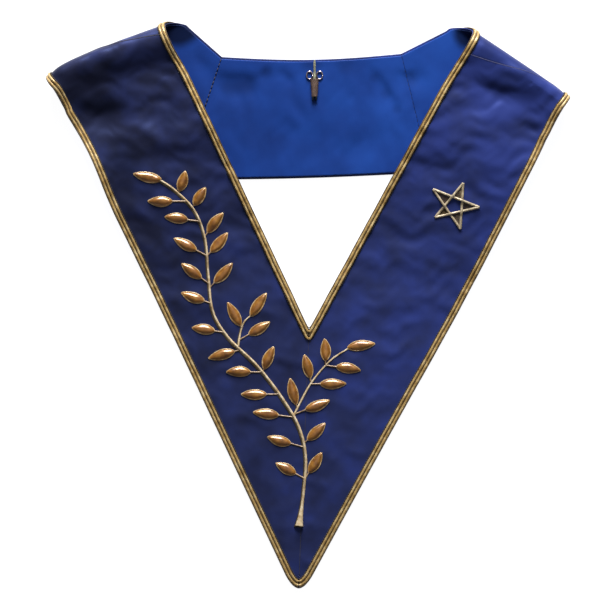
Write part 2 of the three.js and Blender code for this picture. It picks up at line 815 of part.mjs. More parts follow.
// The thread that ties the hook down: from the neck edge, between the eyes and over the shank.
function addHookThread() {
  const middle = backAt(hookAlong, 0, 0);
  const top = stackHeight + layerGap;
  const above = top + hookWire + layerGap;
  const rows = [
    { y: -threadStart, z: top, narrow: threadNarrow },
    { y: -hookInset + threadRise, z: top, narrow: threadNarrow },
    { y: -hookInset + threadFoot, z: top, narrow: threadNarrow },
    { y: -hookInset - threadStart, z: above, narrow: 1 },
    { y: -hookInset - eyeRadius - threadTail, z: above, narrow: 1 },
  ];
  const sections = rows.map(({ y, z, narrow }) => {
    const wide = (threadWidth / 2) * narrow;
    const point = (x, up) => new THREE.Vector3(middle.x + x, middle.y + y, z + up);
    return [
      point(-wide, 0),
      point(wide, 0),
      point(wide * threadTop, threadThickness),
      point(-wide * threadTop, threadThickness),
    ];
  });
  addPiece("hook_thread", loft(sections), sewingThread);
}

addCloth("lining", 0, liningThickness, liningSatin);
addCloth("face", faceStart, faceStart + faceThickness, faceSatin);
addBraids();
addStems();
addLeaves();
addStar();
addHook();
addHookThread();

// Set on the floor with the origin under the middle of its outline.
const outline = new THREE.Box3().setFromObject(collar);
const middle = outline.getCenter(new THREE.Vector3());
collar.position.set(-middle.x, -middle.y, -outline.min.z);

const masonicCollar = new THREE.Group();
masonicCollar.add(collar);

export default masonicCollar;
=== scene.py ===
import math
from functools import partial

import bpy
import numpy as np
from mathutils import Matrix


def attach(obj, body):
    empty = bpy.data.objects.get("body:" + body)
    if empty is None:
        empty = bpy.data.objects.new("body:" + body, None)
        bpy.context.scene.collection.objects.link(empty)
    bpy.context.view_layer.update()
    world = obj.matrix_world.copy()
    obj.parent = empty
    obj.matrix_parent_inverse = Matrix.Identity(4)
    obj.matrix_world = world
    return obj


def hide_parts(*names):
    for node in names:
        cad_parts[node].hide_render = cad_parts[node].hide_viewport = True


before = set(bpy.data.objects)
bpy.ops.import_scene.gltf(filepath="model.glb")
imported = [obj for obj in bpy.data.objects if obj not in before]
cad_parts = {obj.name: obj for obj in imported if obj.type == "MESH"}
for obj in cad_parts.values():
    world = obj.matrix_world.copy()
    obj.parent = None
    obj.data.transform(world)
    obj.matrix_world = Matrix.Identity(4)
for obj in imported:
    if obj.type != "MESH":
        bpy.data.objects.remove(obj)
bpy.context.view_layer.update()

# The view. The collar lies on a white table and the camera looks straight down on it from far away,
# so that the picture is as wide as the photograph. All sizes here are in millimetres.
mm = 0.001
picture_width = 493.8
picture_centre = (-6.7, 4.17)
camera_height = 3000
film_width = 36

lens = film_width * camera_height / picture_width
camera = bpy.data.objects.new("camera", bpy.data.cameras.new("camera"))
camera.data.sensor_width = film_width
camera.data.lens = lens
camera.location = (picture_centre[0] * mm, picture_centre[1] * mm, camera_height * mm)
bpy.context.collection.objects.link(camera)
bpy.context.scene.camera = camera
bpy.context.scene.view_settings.view_transform = "Standard"


# The table: smooth white card, itself lit from below as a light table is, so that no shadow shows on
# it. A soft lamp stands low beyond the neck end and a weak one hangs overhead.
table_size = 4000
table_drop = 0.2
card_glow = 0.95
card_grain = 60
tent_light = 0.11
lamps = {
    "window": {"at": (60, 1800, 860), "size": 900, "power": 82},
    "overhead": {"at": (200, 300, 1900), "size": 1400, "power": 2},
}


def new_finish(name, roughness, metallic=0):
    material = bpy.data.materials.new(name)
    material.use_nodes = True
    nodes = material.node_tree.nodes
    shader = nodes["Principled BSDF"]
    shader.inputs["Roughness"].default_value = roughness
    shader.inputs["Metallic"].default_value = metallic
    return material, nodes, material.node_tree.links, shader, nodes.new("ShaderNodeTexCoord")


def spread_colours(nodes, links, shader, noise_in, colours):
    ramp = nodes.new("ShaderNodeValToRGB")
    stops = ramp.color_ramp.elements
    while len(stops) < len(colours):
        stops.new(0.5)
    for stop, (position, colour) in zip(stops, colours):
        stop.position = position
        stop.color = (*[((c / 255 + 0.055) / 1.055) ** 2.4 for c in colour], 1)  # screen to light
    links.new(noise_in, ramp.inputs["Fac"])
    links.new(ramp.outputs["Color"], shader.inputs["Base Color"])
    return ramp


def patches(nodes, source, size, detail=3):
    noise = nodes.new("ShaderNodeTexNoise")
    noise.inputs["Scale"].default_value = 1 / (size * mm)
    noise.inputs["Detail"].default_value = detail
    source.id_data.links.new(source.outputs["Object"], noise.inputs["Vector"])
    return noise.outputs["Fac"]


card, nodes, links, shader, place = new_finish("white_card", 0.9)
shader.inputs["Emission Color"].default_value = (1, 1, 1, 1)
shader.inputs["Emission Strength"].default_value = card_glow
card_colours = [(0.3, (150, 150, 152)), (0.7, (156, 156, 156))]
spread_colours(nodes, links, shader, patches(nodes, place, card_grain), card_colours)

half = table_size / 2 * mm
corners = [(-half, -half), (half, -half), (half, half), (-half, half)]
table_mesh = bpy.data.meshes.new("table")
table_mesh.from_pydata([(x, y, -table_drop * mm) for x, y in corners], [], [(0, 1, 2, 3)])
table_mesh.materials.append(card)
table = bpy.data.objects.new("table", table_mesh)
bpy.context.collection.objects.link(table)

for name, lamp in lamps.items():
    light = bpy.data.lights.new(name, "AREA")
    light.size = lamp["size"] * mm
    light.energy = lamp["power"]
    lantern = bpy.data.objects.new(name, light)
    lantern.location = [c * mm for c in lamp["at"]]
    aim = np.array(lamp["at"]) - np.array([*picture_centre, 0])
    flat_reach = math.hypot(aim[0], aim[1])
    lantern.rotation_euler = (math.atan2(flat_reach, aim[2]), 0, math.atan2(aim[0], -aim[1]))
    bpy.context.collection.objects.link(lantern)

tent = bpy.data.worlds.new("light_tent")
tent.use_nodes = True
tent.node_tree.nodes["Background"].inputs["Color"].default_value = (1, 1, 1, 1)
tent.node_tree.nodes["Background"].inputs["Strength"].default_value = tent_light
bpy.context.scene.world = tent


# Lining: five lengths of bright blue satin, cut from four inch ribbon and joined edge to edge. It
# lies inside the collar, so it shows over the whole back panel, which lies face down, and inside
# the two shoulder folds, where the ribbon turns over to become the arms.
neck_point = (0.71, -19.7)
arm_width = 101.6
back_width = 98
lining_thickness = 0.9
face_thickness = 1.1
braid_thickness = 1.5
layer_gap = 0.3
braid_gap = 0.4
seam_gap = 0.01
arm_length = 278
neck_depth = 225
back_length = 147.3
back_shift = 2
back_tilt = 1
neck_sag = 3.5
rim_sag = 1.6
tip_drawn = 11
tip_rounding = 26
fold_radius = 8
fall_length = 200
pressed = 0.4
curl_over = 2.5
shoulder_run = 120
arm_run = 450
bow_rise = 2
bow_drop = 14
bow_fade = 0.25
valley_run = 22
valley_rise = 60
neck_ease = 0.17
rim_ease = 0.5
nip_ease = 0.1
wave_height = 0.6
wave_length = 42
wave_from = -60
wave_to = 190
wave_fade = 60
lying_softness = 0.5
ripple_share = 0.6
ripple_ease = 5
left = {
    "sign": -1, "spread": 25.2, "reach": 0.994, "rim_reach": 1.003, "low_share": 1.02,
    "top_share": 1.04, "turn": 39.3, "back_share": 1.025, "drift": 0.16, "top": 0.02, "bow": 9.3,
    "valley": 8, "nip": 0.03, "nip_along": 0.74, "nip_run": 0.115,
    "seam_at_neck": 0.94, "seam_at_rim": 0.48,
}
right = {
    "sign": 1, "spread": 28.6, "reach": 1.005, "rim_reach": 0.96, "low_share": 0.98,
    "top_share": 0.945, "turn": 25.4, "back_share": 1, "drift": 0.18, "top": 0.02, "bow": 3,
    "valley": 4, "nip": -0.02, "nip_along": 0.4, "nip_run": 0.45,
    "seam_at_neck": 1.37, "seam_at_rim": 0.45,
}
sides = {"left": left, "right": right}
dent_run_out = 2.2
dent_from_crown = 1.5
left["dents"] = [
    {"along": 0.805, "across": 0.8, "run": 0.28, "spread": 0.11, "slant": 9, "depth": 0.78},
    {"along": 0.78, "across": 0.3, "run": 0.2, "spread": 0.07, "slant": -3, "depth": 0.32},
    {"along": 0.645, "across": 0.5, "run": 0.5, "spread": 0.07, "slant": 20, "depth": 0.2},
]
right["dents"] = [
    {"along": 0.88, "across": 0.45, "run": 0.3, "spread": 0.07, "slant": 20, "depth": 0.3},
    {"along": 0.82, "across": 0.82, "run": 0.14, "spread": 0.07, "slant": -20, "depth": 0.3},
    {"along": 0.6, "across": 0.32, "run": 0.24, "spread": 0.06, "slant": 12, "depth": 0.2},
]
back_dents = [
    {"at": (-63, 20), "run": 18, "spread": 7, "slant": 4, "depth": 2.4},
    {"at": (-37, 12), "run": 8, "spread": 3, "slant": -45, "depth": 1.4},
    {"at": (-22, 15), "run": 10, "spread": 2.6, "slant": 52, "depth": 1.1},
    {"at": (4, 5), "run": 10, "spread": 2.6, "slant": 3, "depth": 1.2},
    {"at": (30, 6), "run": 16, "spread": 2.4, "slant": 2, "depth": 0.9},
    {"at": (61, 30), "run": 21, "spread": 3.2, "slant": 57, "depth": 1.7},
    {"at": (80, 19), "run": 10, "spread": 4, "slant": 10, "depth": 1.5},
    {"at": (-88, 6), "run": 12, "spread": 4, "slant": 36, "depth": 0.9},
    {"at": (-10, 66), "run": 30, "spread": 10, "slant": 12, "depth": 0.9},
    {"at": (40, 74), "run": 26, "spread": 8, "slant": -20, "depth": 0.9},
]
crease_wander = 3.1
crease_fade = 4.3
creases = [
    {"length": 34, "slant": 8, "start": 0.3, "height": 0.46, "bend": 1.3},
    {"length": 21, "slant": -12, "start": 1.9, "height": 0.36, "bend": 1.9},
    {"length": 13, "slant": 14, "start": 4.4, "height": 0.22, "bend": 2.3},
    {"length": 53, "slant": 62, "start": 2.6, "height": 0.3, "bend": 0.9},
    {"length": 14, "slant": -27, "start": 2.2, "height": 0.2, "bend": 0.8},
    {"length": 8, "slant": -3, "start": 5.1, "height": 0.06, "bend": 2.9},
]

face_start = lining_thickness + layer_gap
braid_start = face_start + face_thickness + braid_gap
stack_height = braid_start + braid_thickness
crown_height = stack_height + 2 * fold_radius


def smooth(x):
    x = np.clip(x, 0, 1)
    return x * x * (3 - 2 * x)


def mix(a, b, share):
    return a + (b - a) * share


for side in sides.values():
    lean = math.radians(side["spread"])
    side["up"] = np.array([side["sign"] * math.sin(lean), math.cos(lean)])
    side["out"] = np.array([side["sign"] * math.cos(lean), -math.sin(lean)])
    side["crown"] = arm_length * side["reach"] - fold_radius - face_start - face_thickness


def on_arm(side, along, across):
    along, across = np.broadcast_arrays(along, across)
    return along[..., None] * side["up"] + across[..., None] * side["out"]


def cross(a, b):
    return a[..., 0] * b[..., 1] - a[..., 1] * b[..., 0]


rim_start = {key: on_arm(side, 0, side["low_share"] * arm_width) for key, side in sides.items()}
to_tip = cross(rim_start["right"] - rim_start["left"], right["up"]) / cross(left["up"], right["up"])
sharp_tip = rim_start["left"] + left["up"] * to_tip
towards_neck = -sharp_tip / np.linalg.norm(sharp_tip)

tilt = math.radians(back_tilt)
back_run = np.array([math.cos(tilt), math.sin(tilt)])
back_down = np.array([math.sin(tilt), -math.cos(tilt)])
for side in sides.values():
    half_turn = math.radians(side["turn"] / 2)
    side["corner"] = np.array([back_shift, neck_depth]) + back_run * side["sign"] * back_length / 2
    side["rim_corner"] = (
        side["corner"] + back_down * back_width * side["back_share"]
        + back_run * side["sign"] * back_width * side["back_share"] * math.tan(half_turn)
    )


def pressed_in(dent, over, down, scale, gentle):
    slant = math.radians(dent["slant"])
    lengthwise = (over * math.cos(slant) + down * math.sin(slant)) / (dent["run"] * scale)
    sideways = (down * math.cos(slant) - over * math.sin(slant)) / (dent["spread"] * scale)
    sideways = sideways / np.where(sideways * gentle > 0, dent_run_out, 1)
    return dent["depth"] * np.exp(-(lengthwise**2) - sideways**2)


def dent_at(side, along, across):
    total = np.zeros(np.broadcast(along, across).shape)
    for dent in side["dents"]:
        down = along - dent["along"] * arm_length
        over = across - dent["across"] * arm_width
        total += fold_radius * pressed_in(dent, over, down, arm_width, -1)
    return total * smooth((side["crown"] - along) / (dent_from_crown * fold_radius))


def lift(side, along, across):
    crown = side["crown"] + (side["rim_reach"] - 1) * arm_length * (across / arm_width)
    slope = crown_height * (1 - smooth((crown - along) / fall_length))
    past = crown - along - valley_run
    valley = side["valley"] * smooth(1 + past / valley_run) * (1 - smooth(past / valley_rise))
    start = smooth((along - wave_from) / wave_fade) * smooth((wave_to - along) / wave_fade)
    down = along * side["up"][1] + across * side["out"][1]
    wave = wave_height * start * (0.5 - 0.5 * np.cos(2 * math.pi * down / wave_length))
    return slope + wave - valley - dent_at(side, along, across)


def crease_at(x, y):
    total = np.zeros(np.broadcast(x, y).shape)
    for crease in creases:
        slant = math.radians(crease["slant"])
        over = y * math.cos(slant) - x * math.sin(slant)
        beside = x * math.cos(slant) + y * math.sin(slant)
        turn = 2 * math.pi / crease["length"]
        wander = crease["bend"] * np.sin(turn * beside / crease_wander + crease["start"])
        fade = 0.5 + 0.5 * np.sin(turn * (beside - over) / crease_fade + 2 * crease["start"])
        total += crease["height"] * fade * np.sin(turn * over + crease["start"] + wander)
    return total


def back_dent_at(level):
    total = np.zeros(level.shape[:-1])
    middle = (left["corner"] + right["corner"]) / 2
    for dent in back_dents:
        over = (level - middle) @ back_run - dent["at"][0]
        down = (level - middle) @ back_down - dent["at"][1]
        total += pressed_in(dent, over, down, 1, 1)
    return total


def settle(height):
    return (height + np.sqrt(height**2 + lying_softness**2)) / 2


def rippled(level, share, height):
    inner = smooth(ripple_ease * share) * smooth(ripple_ease * (1 - share))
    ripple = inner * (ripple_share * crease_at(level[..., 1], level[..., 0]) - back_dent_at(level))
    return face_start + face_thickness - height + settle(braid_gap + braid_thickness + ripple)


def edge_place(side, rim, reach):
    crown = side["crown"] + ((side["rim_reach"] - 1) * arm_length if rim else 0)
    top = (side["top_share"] if rim else side["top"]) * arm_width
    foot = top if rim else -side["drift"] * arm_width
    start = side["rim_corner"] if rim else side["corner"]
    half_turn = math.radians(side["turn"] / 2)

    share = np.clip(reach, 0, 1)
    seam = seam_gap / 2 * (1 - share) / math.cos(half_turn)
    flat = mix(start, on_arm(side, crown, foot), share[..., None])
    flat = flat + back_run * side["sign"] * seam[..., None]

    share = np.clip(reach - 1, 0, 1)
    angle = math.pi * (share - 0.5)
    reached = np.clip(np.cos(angle), 0, 1) ** np.where(share < 0.5, pressed, 1)
    fold = on_arm(side, crown + fold_radius * reached, mix(foot, top, 1 - (1 - share) ** curl_over))
    height = stack_height + fold_radius * (1 + np.sin(angle))

    share = np.clip(reach - 2, 0, 1)
    tip_along = sharp_tip @ side["up"]
    along = mix(crown, tip_along if rim else 0, share)
    ease = smooth(share / (rim_ease if rim else neck_ease))
    across = mix(top, side["low_share"] * arm_width if rim else 0, ease)
    if rim:
        nipped = (along / arm_length - side["nip_along"]) / side["nip_run"]
        across = across - side["nip"] * arm_width * np.exp(-(nipped**2)) * smooth(share / nip_ease)
    arm = on_arm(side, along, across)
    if rim:
        near = np.clip(1 - (along - tip_along) / tip_rounding, 0, None)
        arm = arm + towards_neck * (tip_drawn * near**2)[..., None]
    arm[..., 0] += side["sign"] * seam_gap / 2 * share

    flat_part = (reach <= 1)[..., None]
    fold_part = (reach <= 2)[..., None]
    level = np.where(flat_part, flat, np.where(fold_part, fold, arm))
    return np.concatenate([level, height[..., None]], axis=-1)


def ribbon_inside(side, reach, share):
    place = mix(edge_place(side, False, reach), edge_place(side, True, reach), share[..., None])
    folded = np.where(reach <= 2, smooth(reach - 1), smooth(1 - (reach - 2) / bow_fade))
    swell = side["bow"] * folded * (1 - (1 - share) ** bow_rise) * (1 - share**bow_drop)
    place[..., :2] += side["up"] * swell[..., None]
    along = place[..., :2] @ side["up"] - swell
    across = place[..., :2] @ side["out"]
    place[..., 2] = np.where(reach > 2, lift(side, along, across), place[..., 2])
    return place


def ribbon_at(side, reach, share, height):
    reach, share, height = np.broadcast_arrays(reach, share, height)
    step = 1e-3
    here = ribbon_inside(side, reach, share)
    low = np.where(reach < step, reach, reach - step)
    high = np.where(reach > 3 - step, reach, reach + step)
    alongway = ribbon_inside(side, high, share) - ribbon_inside(side, low, share)
    crossway = ribbon_inside(side, reach, np.minimum(1, share + step))
    crossway = crossway - ribbon_inside(side, reach, np.maximum(0, share - step))
    outward = np.cross(alongway, crossway) * side["sign"]
    outward /= np.linalg.norm(outward, axis=-1, keepdims=True)
    settled = smooth((reach - 1.5) * 2)
    raised = height + settled * crease_at(here[..., 0], here[..., 1])
    place = here + outward * raised[..., None]
    lowest = np.where(reach > 2, height, 0)
    place[..., 2] = np.where(reach > 2, lowest + settle(place[..., 2] - lowest), place[..., 2])
    flat = smooth(4 * (1 - reach))
    place[..., 2] = mix(place[..., 2], rippled(place[..., :2], share, height), flat)
    return place


def back_at(run, share, height):
    run, share, height = np.broadcast_arrays(run, share, height)
    inset = seam_gap / 2 / back_length
    run = mix(inset, 1 - inset, run)
    neck = mix(left["corner"], right["corner"], run[..., None])
    rim = mix(left["rim_corner"], right["rim_corner"], run[..., None])
    level = mix(neck, rim, share[..., None])
    level = level + back_down * (mix(neck_sag, rim_sag, share) * np.sin(math.pi * run))[..., None]
    return np.concatenate([level, rippled(level, share, height)[..., None]], axis=-1)


seam_step = seam_gap / 2 / (math.pi * fold_radius)
flat_rows = 0.3
fold_rows = 0.2
past_fold = 0.02
row_crowding = 1.25


def seam_reach(side, share, step):
    turned = mix(side["seam_at_neck"], side["seam_at_rim"], share) + step
    return np.where(turned <= 1, 1 + turned, 2 + (turned - 1) * math.pi * fold_radius / arm_length)


def shoulder_reach(side, row, share):
    end = seam_reach(side, share, -seam_step)
    on_fold = mix(1, end, (row - flat_rows) / (1 - flat_rows))
    return np.where(row < flat_rows, row / flat_rows, on_fold)


def arm_reach(side, row, share):
    start = seam_reach(side, share, seam_step)
    level = np.maximum(2, start) + past_fold
    down = mix(level, 3, np.clip((row - fold_rows) / (1 - fold_rows), 0, 1) ** row_crowding)
    return np.where(row < fold_rows, mix(start, level, row / fold_rows), down)


def back_rows(row, share):
    return row + 0 * share


lengths = {"back": {"at": back_at, "rows": back_rows, "long": back_length}}
for key, side in sides.items():
    at = partial(ribbon_at, side)
    shoulder_rows = partial(shoulder_reach, side)
    arm_rows = partial(arm_reach, side)
    lengths[f"shoulder_{key}"] = {"at": at, "rows": shoulder_rows, "long": shoulder_run}
    lengths[f"arm_{key}"] = {"at": at, "rows": arm_rows, "long": arm_run}


hem_steps = [0, 0.12, 0.3, 0.6, 1.1, 1.8]
hem_end = 3
hem_rounding = 0.8
hem_thinnest = 0.12
cut_unit = 100


def crowded(count, long):
    near = np.array(hem_steps) / long
    even = np.linspace(hem_end / long, 1 - hem_end / long, count)
    return np.concatenate([near, even, 1 - near[::-1]])


def solid_mesh(name, points, faces, materials, uv=None):
    mesh = bpy.data.meshes.new(name)
    shift = np.array([*neck_point, 0])
    mesh.from_pydata(((points + shift) * mm).tolist(), [], faces)
    for material in materials:
        mesh.materials.append(material)
    mesh.polygons.foreach_set("use_smooth", [True] * len(mesh.polygons))
    if uv is not None:
        layer = mesh.uv_layers.new(name="cut")
        corner = np.zeros(len(mesh.loops), dtype=np.int32)
        mesh.loops.foreach_get("vertex_index", corner)
        layer.data.foreach_set("uv", uv[corner].ravel())
    piece = bpy.data.objects.new(name, mesh)
    bpy.context.collection.objects.link(piece)
    return piece


def volume_of(points, faces):
    quads = points[np.array(faces)]
    a, b, c, d = (quads[:, i] for i in range(4))
    return np.sum(a * np.cross(b, c)) + np.sum(a * np.cross(c, d))


def grid(rows, columns):
    i, j = np.meshgrid(np.arange(rows - 1), np.arange(columns - 1), indexing="ij")
    a = (i * columns + j).ravel()
    edge = np.concatenate([
        np.arange(columns - 1), np.arange(rows - 1) * columns + columns - 1,
        (rows - 1) * columns + np.arange(columns - 1, 0, -1), np.arange(rows - 1, 0, -1) * columns,
    ])
    return np.stack([a, a + 1, a + columns + 1, a + columns], axis=1), edge


def cloth(name, cut, low, high, rows, columns, finish, margin=0):
    row, share = np.meshgrid(crowded(rows, cut["long"]), crowded(columns, arm_width), indexing="ij")
    share = mix(margin / arm_width, 1 - margin / arm_width, share)
    reach = cut["rows"](row, share)
    flat = cut["at"](reach, share, (low + high) / 2)
    along = np.linalg.norm(np.diff(flat, axis=0), axis=-1)
    across = np.linalg.norm(np.diff(flat, axis=1), axis=-1)
    down = np.vstack([np.zeros(flat.shape[1]), np.cumsum(along, axis=0)])
    over = np.hstack([np.zeros((flat.shape[0], 1)), np.cumsum(across, axis=1)])
    inwards = np.minimum.reduce([down, down[-1] - down, over, over[:, -1:] - over])
    rounding = np.sqrt(1 - (1 - np.clip(inwards / hem_rounding, 0, 1)) ** 2)
    full = mix(hem_thinnest, 1, rounding)
    middle, half = (low + high) / 2, (high - low) / 2
    upper = cut["at"](reach, share, middle + half * full)
    lower = cut["at"](reach, share, middle - half * full)
    count, width = row.shape
    points = np.concatenate([upper.reshape(-1, 3), lower.reshape(-1, 3)])
    top, edge = grid(count, width)
    under = top[:, ::-1] + count * width
    turned = np.roll(edge, -1)
    wall = np.stack([turned, edge, edge + count * width, turned + count * width], axis=1)
    faces = np.concatenate([top, under, wall]).tolist()
    if volume_of(points, faces) < 0:
        faces = [face[::-1] for face in faces]
    uv = np.stack([over.ravel(), down.ravel()], axis=1) / cut_unit
    piece = solid_mesh(name, points, faces, [finish], np.concatenate([uv, uv]))
    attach(piece, "root")
    across_cells = np.cross(flat[1:, 1:] - flat[:-1, :-1], flat[1:, :-1] - flat[:-1, 1:])
    area = np.linalg.norm(across_cells, axis=-1).sum() / 2 * mm**2
    neck_side = down[-1, 0] * mm
    rim_side = down[-1, -1] * mm
    wide = area / (neck_side + rim_side) * 2
    return piece, (wide, max(neck_side, rim_side)), area


painted_sheen_run = 500
floats_across = (240, 50, 1)
floats_depth = 0.15
floats_strength = 0.25


def bumped(nodes, links, shader, relief, strength, depth):
    bump = nodes.new("ShaderNodeBump")
    bump.inputs["Strength"].default_value = strength
    bump.inputs["Distance"].default_value = depth * mm
    links.new(relief, bump.inputs["Height"])
    links.new(bump.outputs["Normal"], shader.inputs["Normal"])


def satin(name, colours, roughness, patch, painted_light_spots=()):
    material, nodes, links, shader, place = new_finish(name, roughness)
    across = nodes.new("ShaderNodeSeparateXYZ")
    links.new(place.outputs["Object"], across.inputs["Vector"])
    # Painted sheen: the colour ramp follows X, so the satin is painted darker and greyer on the left
    # and bluer on the right. Random patches of tone are mixed in.
    painted_sheen = nodes.new("ShaderNodeMath")
    painted_sheen.operation = "MULTIPLY_ADD"
    painted_sheen.inputs[1].default_value = 1 / (painted_sheen_run * mm)
    links.new(across.outputs["X"], painted_sheen.inputs[0])
    links.new(patches(nodes, place, patch), painted_sheen.inputs[2])
    ramp = spread_colours(nodes, links, shader, painted_sheen.outputs["Value"], colours)
    colour = ramp.outputs["Color"]
    # Painted light: each listed spot scales the colour near it. A scale below one is painted shade in
    # folds and dents, and a scale above one is painted highlight.
    for spot, near, far, painted_light_scale in painted_light_spots:
        away = nodes.new("ShaderNodeVectorMath")
        away.operation = "DISTANCE"
        away.inputs[1].default_value = [c * mm for c in spot]
        links.new(place.outputs["Object"], away.inputs[0])
        painted_light_ramp = nodes.new("ShaderNodeMapRange")
        painted_light_ramp.interpolation_type = "SMOOTHSTEP"
        painted_light_ramp.inputs["From Min"].default_value = near * mm
        painted_light_ramp.inputs["From Max"].default_value = far * mm
        painted_light_ramp.inputs["To Min"].default_value = painted_light_scale
        links.new(away.outputs["Value"], painted_light_ramp.inputs["Value"])
        painted_light_colour = nodes.new("ShaderNodeVectorMath")
        painted_light_colour.operation = "SCALE"
        links.new(colour, painted_light_colour.inputs[0])
        links.new(painted_light_ramp.outputs["Result"], painted_light_colour.inputs["Scale"])
        colour = painted_light_colour.outputs["Vector"]
    links.new(colour, shader.inputs["Base Color"])
    shader.inputs["Specular IOR Level"].default_value = 0.4
    shader.inputs["Specular Tint"].default_value = (0.25, 0.36, 1, 1)
    threads = nodes.new("ShaderNodeMapping")
    threads.inputs["Scale"].default_value = floats_across
    links.new(place.outputs["UV"], threads.inputs["Vector"])
    floats = nodes.new("ShaderNodeTexNoise")
    floats.inputs["Scale"].default_value = 1
    floats.inputs["Detail"].default_value = 2
    links.new(threads.outputs["Vector"], floats.inputs["Vector"])
    bumped(nodes, links, shader, floats.outputs["Fac"], floats_strength, floats_depth)
    return material


# The lining's spots are painted shade: deep inside the two shoulder folds, and along the wrinkles of
# the back panel.
lining_satin = satin(
    "lining_satin", [(0.1, (20, 44, 104)), (0.5, (24, 56, 128)), (0.9, (30, 70, 152))], 0.42, 30,
    [
        ((-107, 233, 4), 15, 25, 0.1), ((132, 223, 4), 8, 17, 0.12), ((-50, 181, 4), 2, 13, 0.62),
        ((-64, 180, 4), 2, 13, 0.62), ((-34, 192, 4), 1, 8, 0.7), ((3, 198, 4), 2, 12, 0.7),
        ((30, 198, 4), 2, 12, 0.75), ((54, 187, 4), 1, 6, 0.8), ((64, 174, 4), 1, 7, 0.78),
        ((73, 161, 4), 1, 6, 0.8), ((84, 186, 4), 1, 10, 0.7),
    ],
)
lining_margin = 1.7
lining_grid = {"back": (60, 40), "shoulder": (44, 34), "arm": (130, 34)}
for key, cut in lengths.items():
    rows, columns = lining_grid[key.split("_")[0]]
    piece, flat_size, area = cloth(
        f"lining_{key}_cloth", cut, 0, lining_thickness, rows, columns, lining_satin, lining_margin
    )
    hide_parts(f"lining_{key}")


# Face: the same five lengths in dark navy satin, laid on the lining and sewn to it along both
# edges. The arms are mitred together at the front point, and slanting seams over the shoulder
# folds join them to the shoulder pieces.
# The face's spots are painted shade in the dents and valleys of both arms and on the right shoulder
# fold. Along the top of the left shoulder fold they are painted highlight.
face_satin = satin(
    "face_satin", [(0.15, (29, 31, 50)), (0.5, (38, 45, 86)), (0.85, (43, 55, 118))], 0.44, 26,
    [
        ((-164, 162, 14), 3, 15, 0.4), ((-176, 164, 14), 3, 14, 0.45), ((-188, 166, 14), 3, 12, 0.5),
        ((-152, 163, 14), 2, 10, 0.6), ((-150, 120, 12), 6, 22, 0.6), ((-112, 154, 14), 2, 14, 0.6),
        ((158, 181, 14), 3, 18, 0.7), ((185, 140, 10), 2, 14, 0.75), ((158, 214, 18), 8, 26, 0.68),
        ((183, 200, 18), 8, 26, 0.68), ((-192, 201, 18), 3, 16, 1.8), ((-171, 210, 20), 3, 15, 1.9),
        ((-150, 217, 20), 3, 15, 1.9), ((-130, 224, 20), 3, 16, 1.8),
    ],
)
face_top_height = face_start + face_thickness
face_grid = {"back": (50, 36), "shoulder": (60, 60), "arm": (230, 84)}
for key, cut in lengths.items():
    rows, columns = face_grid[key.split("_")[0]]
    piece, flat_size, area = cloth(
        f"face_{key}_cloth", cut, face_start, face_top_height, rows, columns, face_satin
    )
    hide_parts(f"face_{key}")


# Gold braid: cords of gilt wire laid side by side over a core and sewn down along both edges of
# the ribbon, all the way round: a thin cord on the outside, then two thick bright ones with a
# sunken one between them. The core, the thin cord and the sunken one are coloured dark brown as
# painted shade in the braid's grooves and along its outer edge. A sewing thread runs along the
# inner side; it is real stitching, and its thickness and near-black colour also make it the
# painted shadow of the braid on the satin.
braid_cords = [
    {"in": 2.9, "up": 0.3, "radius": 2.7, "flat": 0.2, "finish": 2},
    {"in": 0.5, "up": 0.55, "radius": 0.5, "flat": 1, "finish": 1},
    {"in": 1.9, "up": 0.8, "radius": 1.05, "flat": 0.8, "finish": 0},
    {"in": 3.3, "up": 0.6, "radius": 0.6, "flat": 0.7, "finish": 1},
    {"in": 4.7, "up": 0.8, "radius": 1.05, "flat": 0.8, "finish": 0},
]
cord_spacing = 0.56
cord_sides = 9
cord_plies = 2
ply_pitch = 3.4
ply_depth = 0.06
apex_rounding = 8
mitre_gap = 0.1
mitre_reach = 14
tucked = 1.3
tuck_from = 1.45
tuck_run = 0.3
edge_step = 0.01
wire_grain = 0.45
wire_depth = 0.12


def evenly(path, spacing):
    walked = np.concatenate([[0], np.cumsum(np.linalg.norm(np.diff(path[:, :3], axis=0), axis=1))])
    marks = np.linspace(0, walked[-1], max(2, int(walked[-1] / spacing) + 1))
    return np.stack([np.interp(marks, walked, path[:, i]) for i in range(path.shape[1])], axis=1)


def unit(vectors):
    return vectors / np.maximum(np.linalg.norm(vectors, axis=-1, keepdims=True), 1e-9)


def upright(path):
    return np.tile([0.0, 0.0, 1.0], (len(path), 1))


def cord_skin(path, up, radius, pitch=ply_pitch, depth=ply_depth, flat=1, around=cord_sides):
    ahead = unit(np.gradient(path, axis=0))
    beside = unit(np.cross(ahead, up))
    above = np.cross(beside, ahead)
    walked = np.concatenate([[0], np.cumsum(np.linalg.norm(np.diff(path, axis=0), axis=1))])
    turn = np.linspace(0, 2 * math.pi, around, endpoint=False)
    ply = 0.5 + 0.5 * np.cos(cord_plies * (turn[None, :] - math.pi * walked[:, None] / pitch))
    reach = np.broadcast_to(radius, walked.shape)[:, None] * (1 - depth * (1 - ply**0.6))
    ring = (
        path[:, None, :]
        + beside[:, None, :] * (reach * np.cos(turn))[..., None]
        + above[:, None, :] * (reach * np.sin(turn) * flat)[..., None]
    )
    count = len(path)
    i, j = np.meshgrid(np.arange(count - 1), np.arange(around), indexing="ij")
    a = (i * around + j).ravel()
    b = (i * around + (j + 1) % around).ravel()
    faces = np.stack([a, a + around, b + around, b], axis=1).tolist()
    caps = [list(range(around)), [count * around - 1 - k for k in range(around)]]
    return ring.reshape(-1, 3), faces + caps


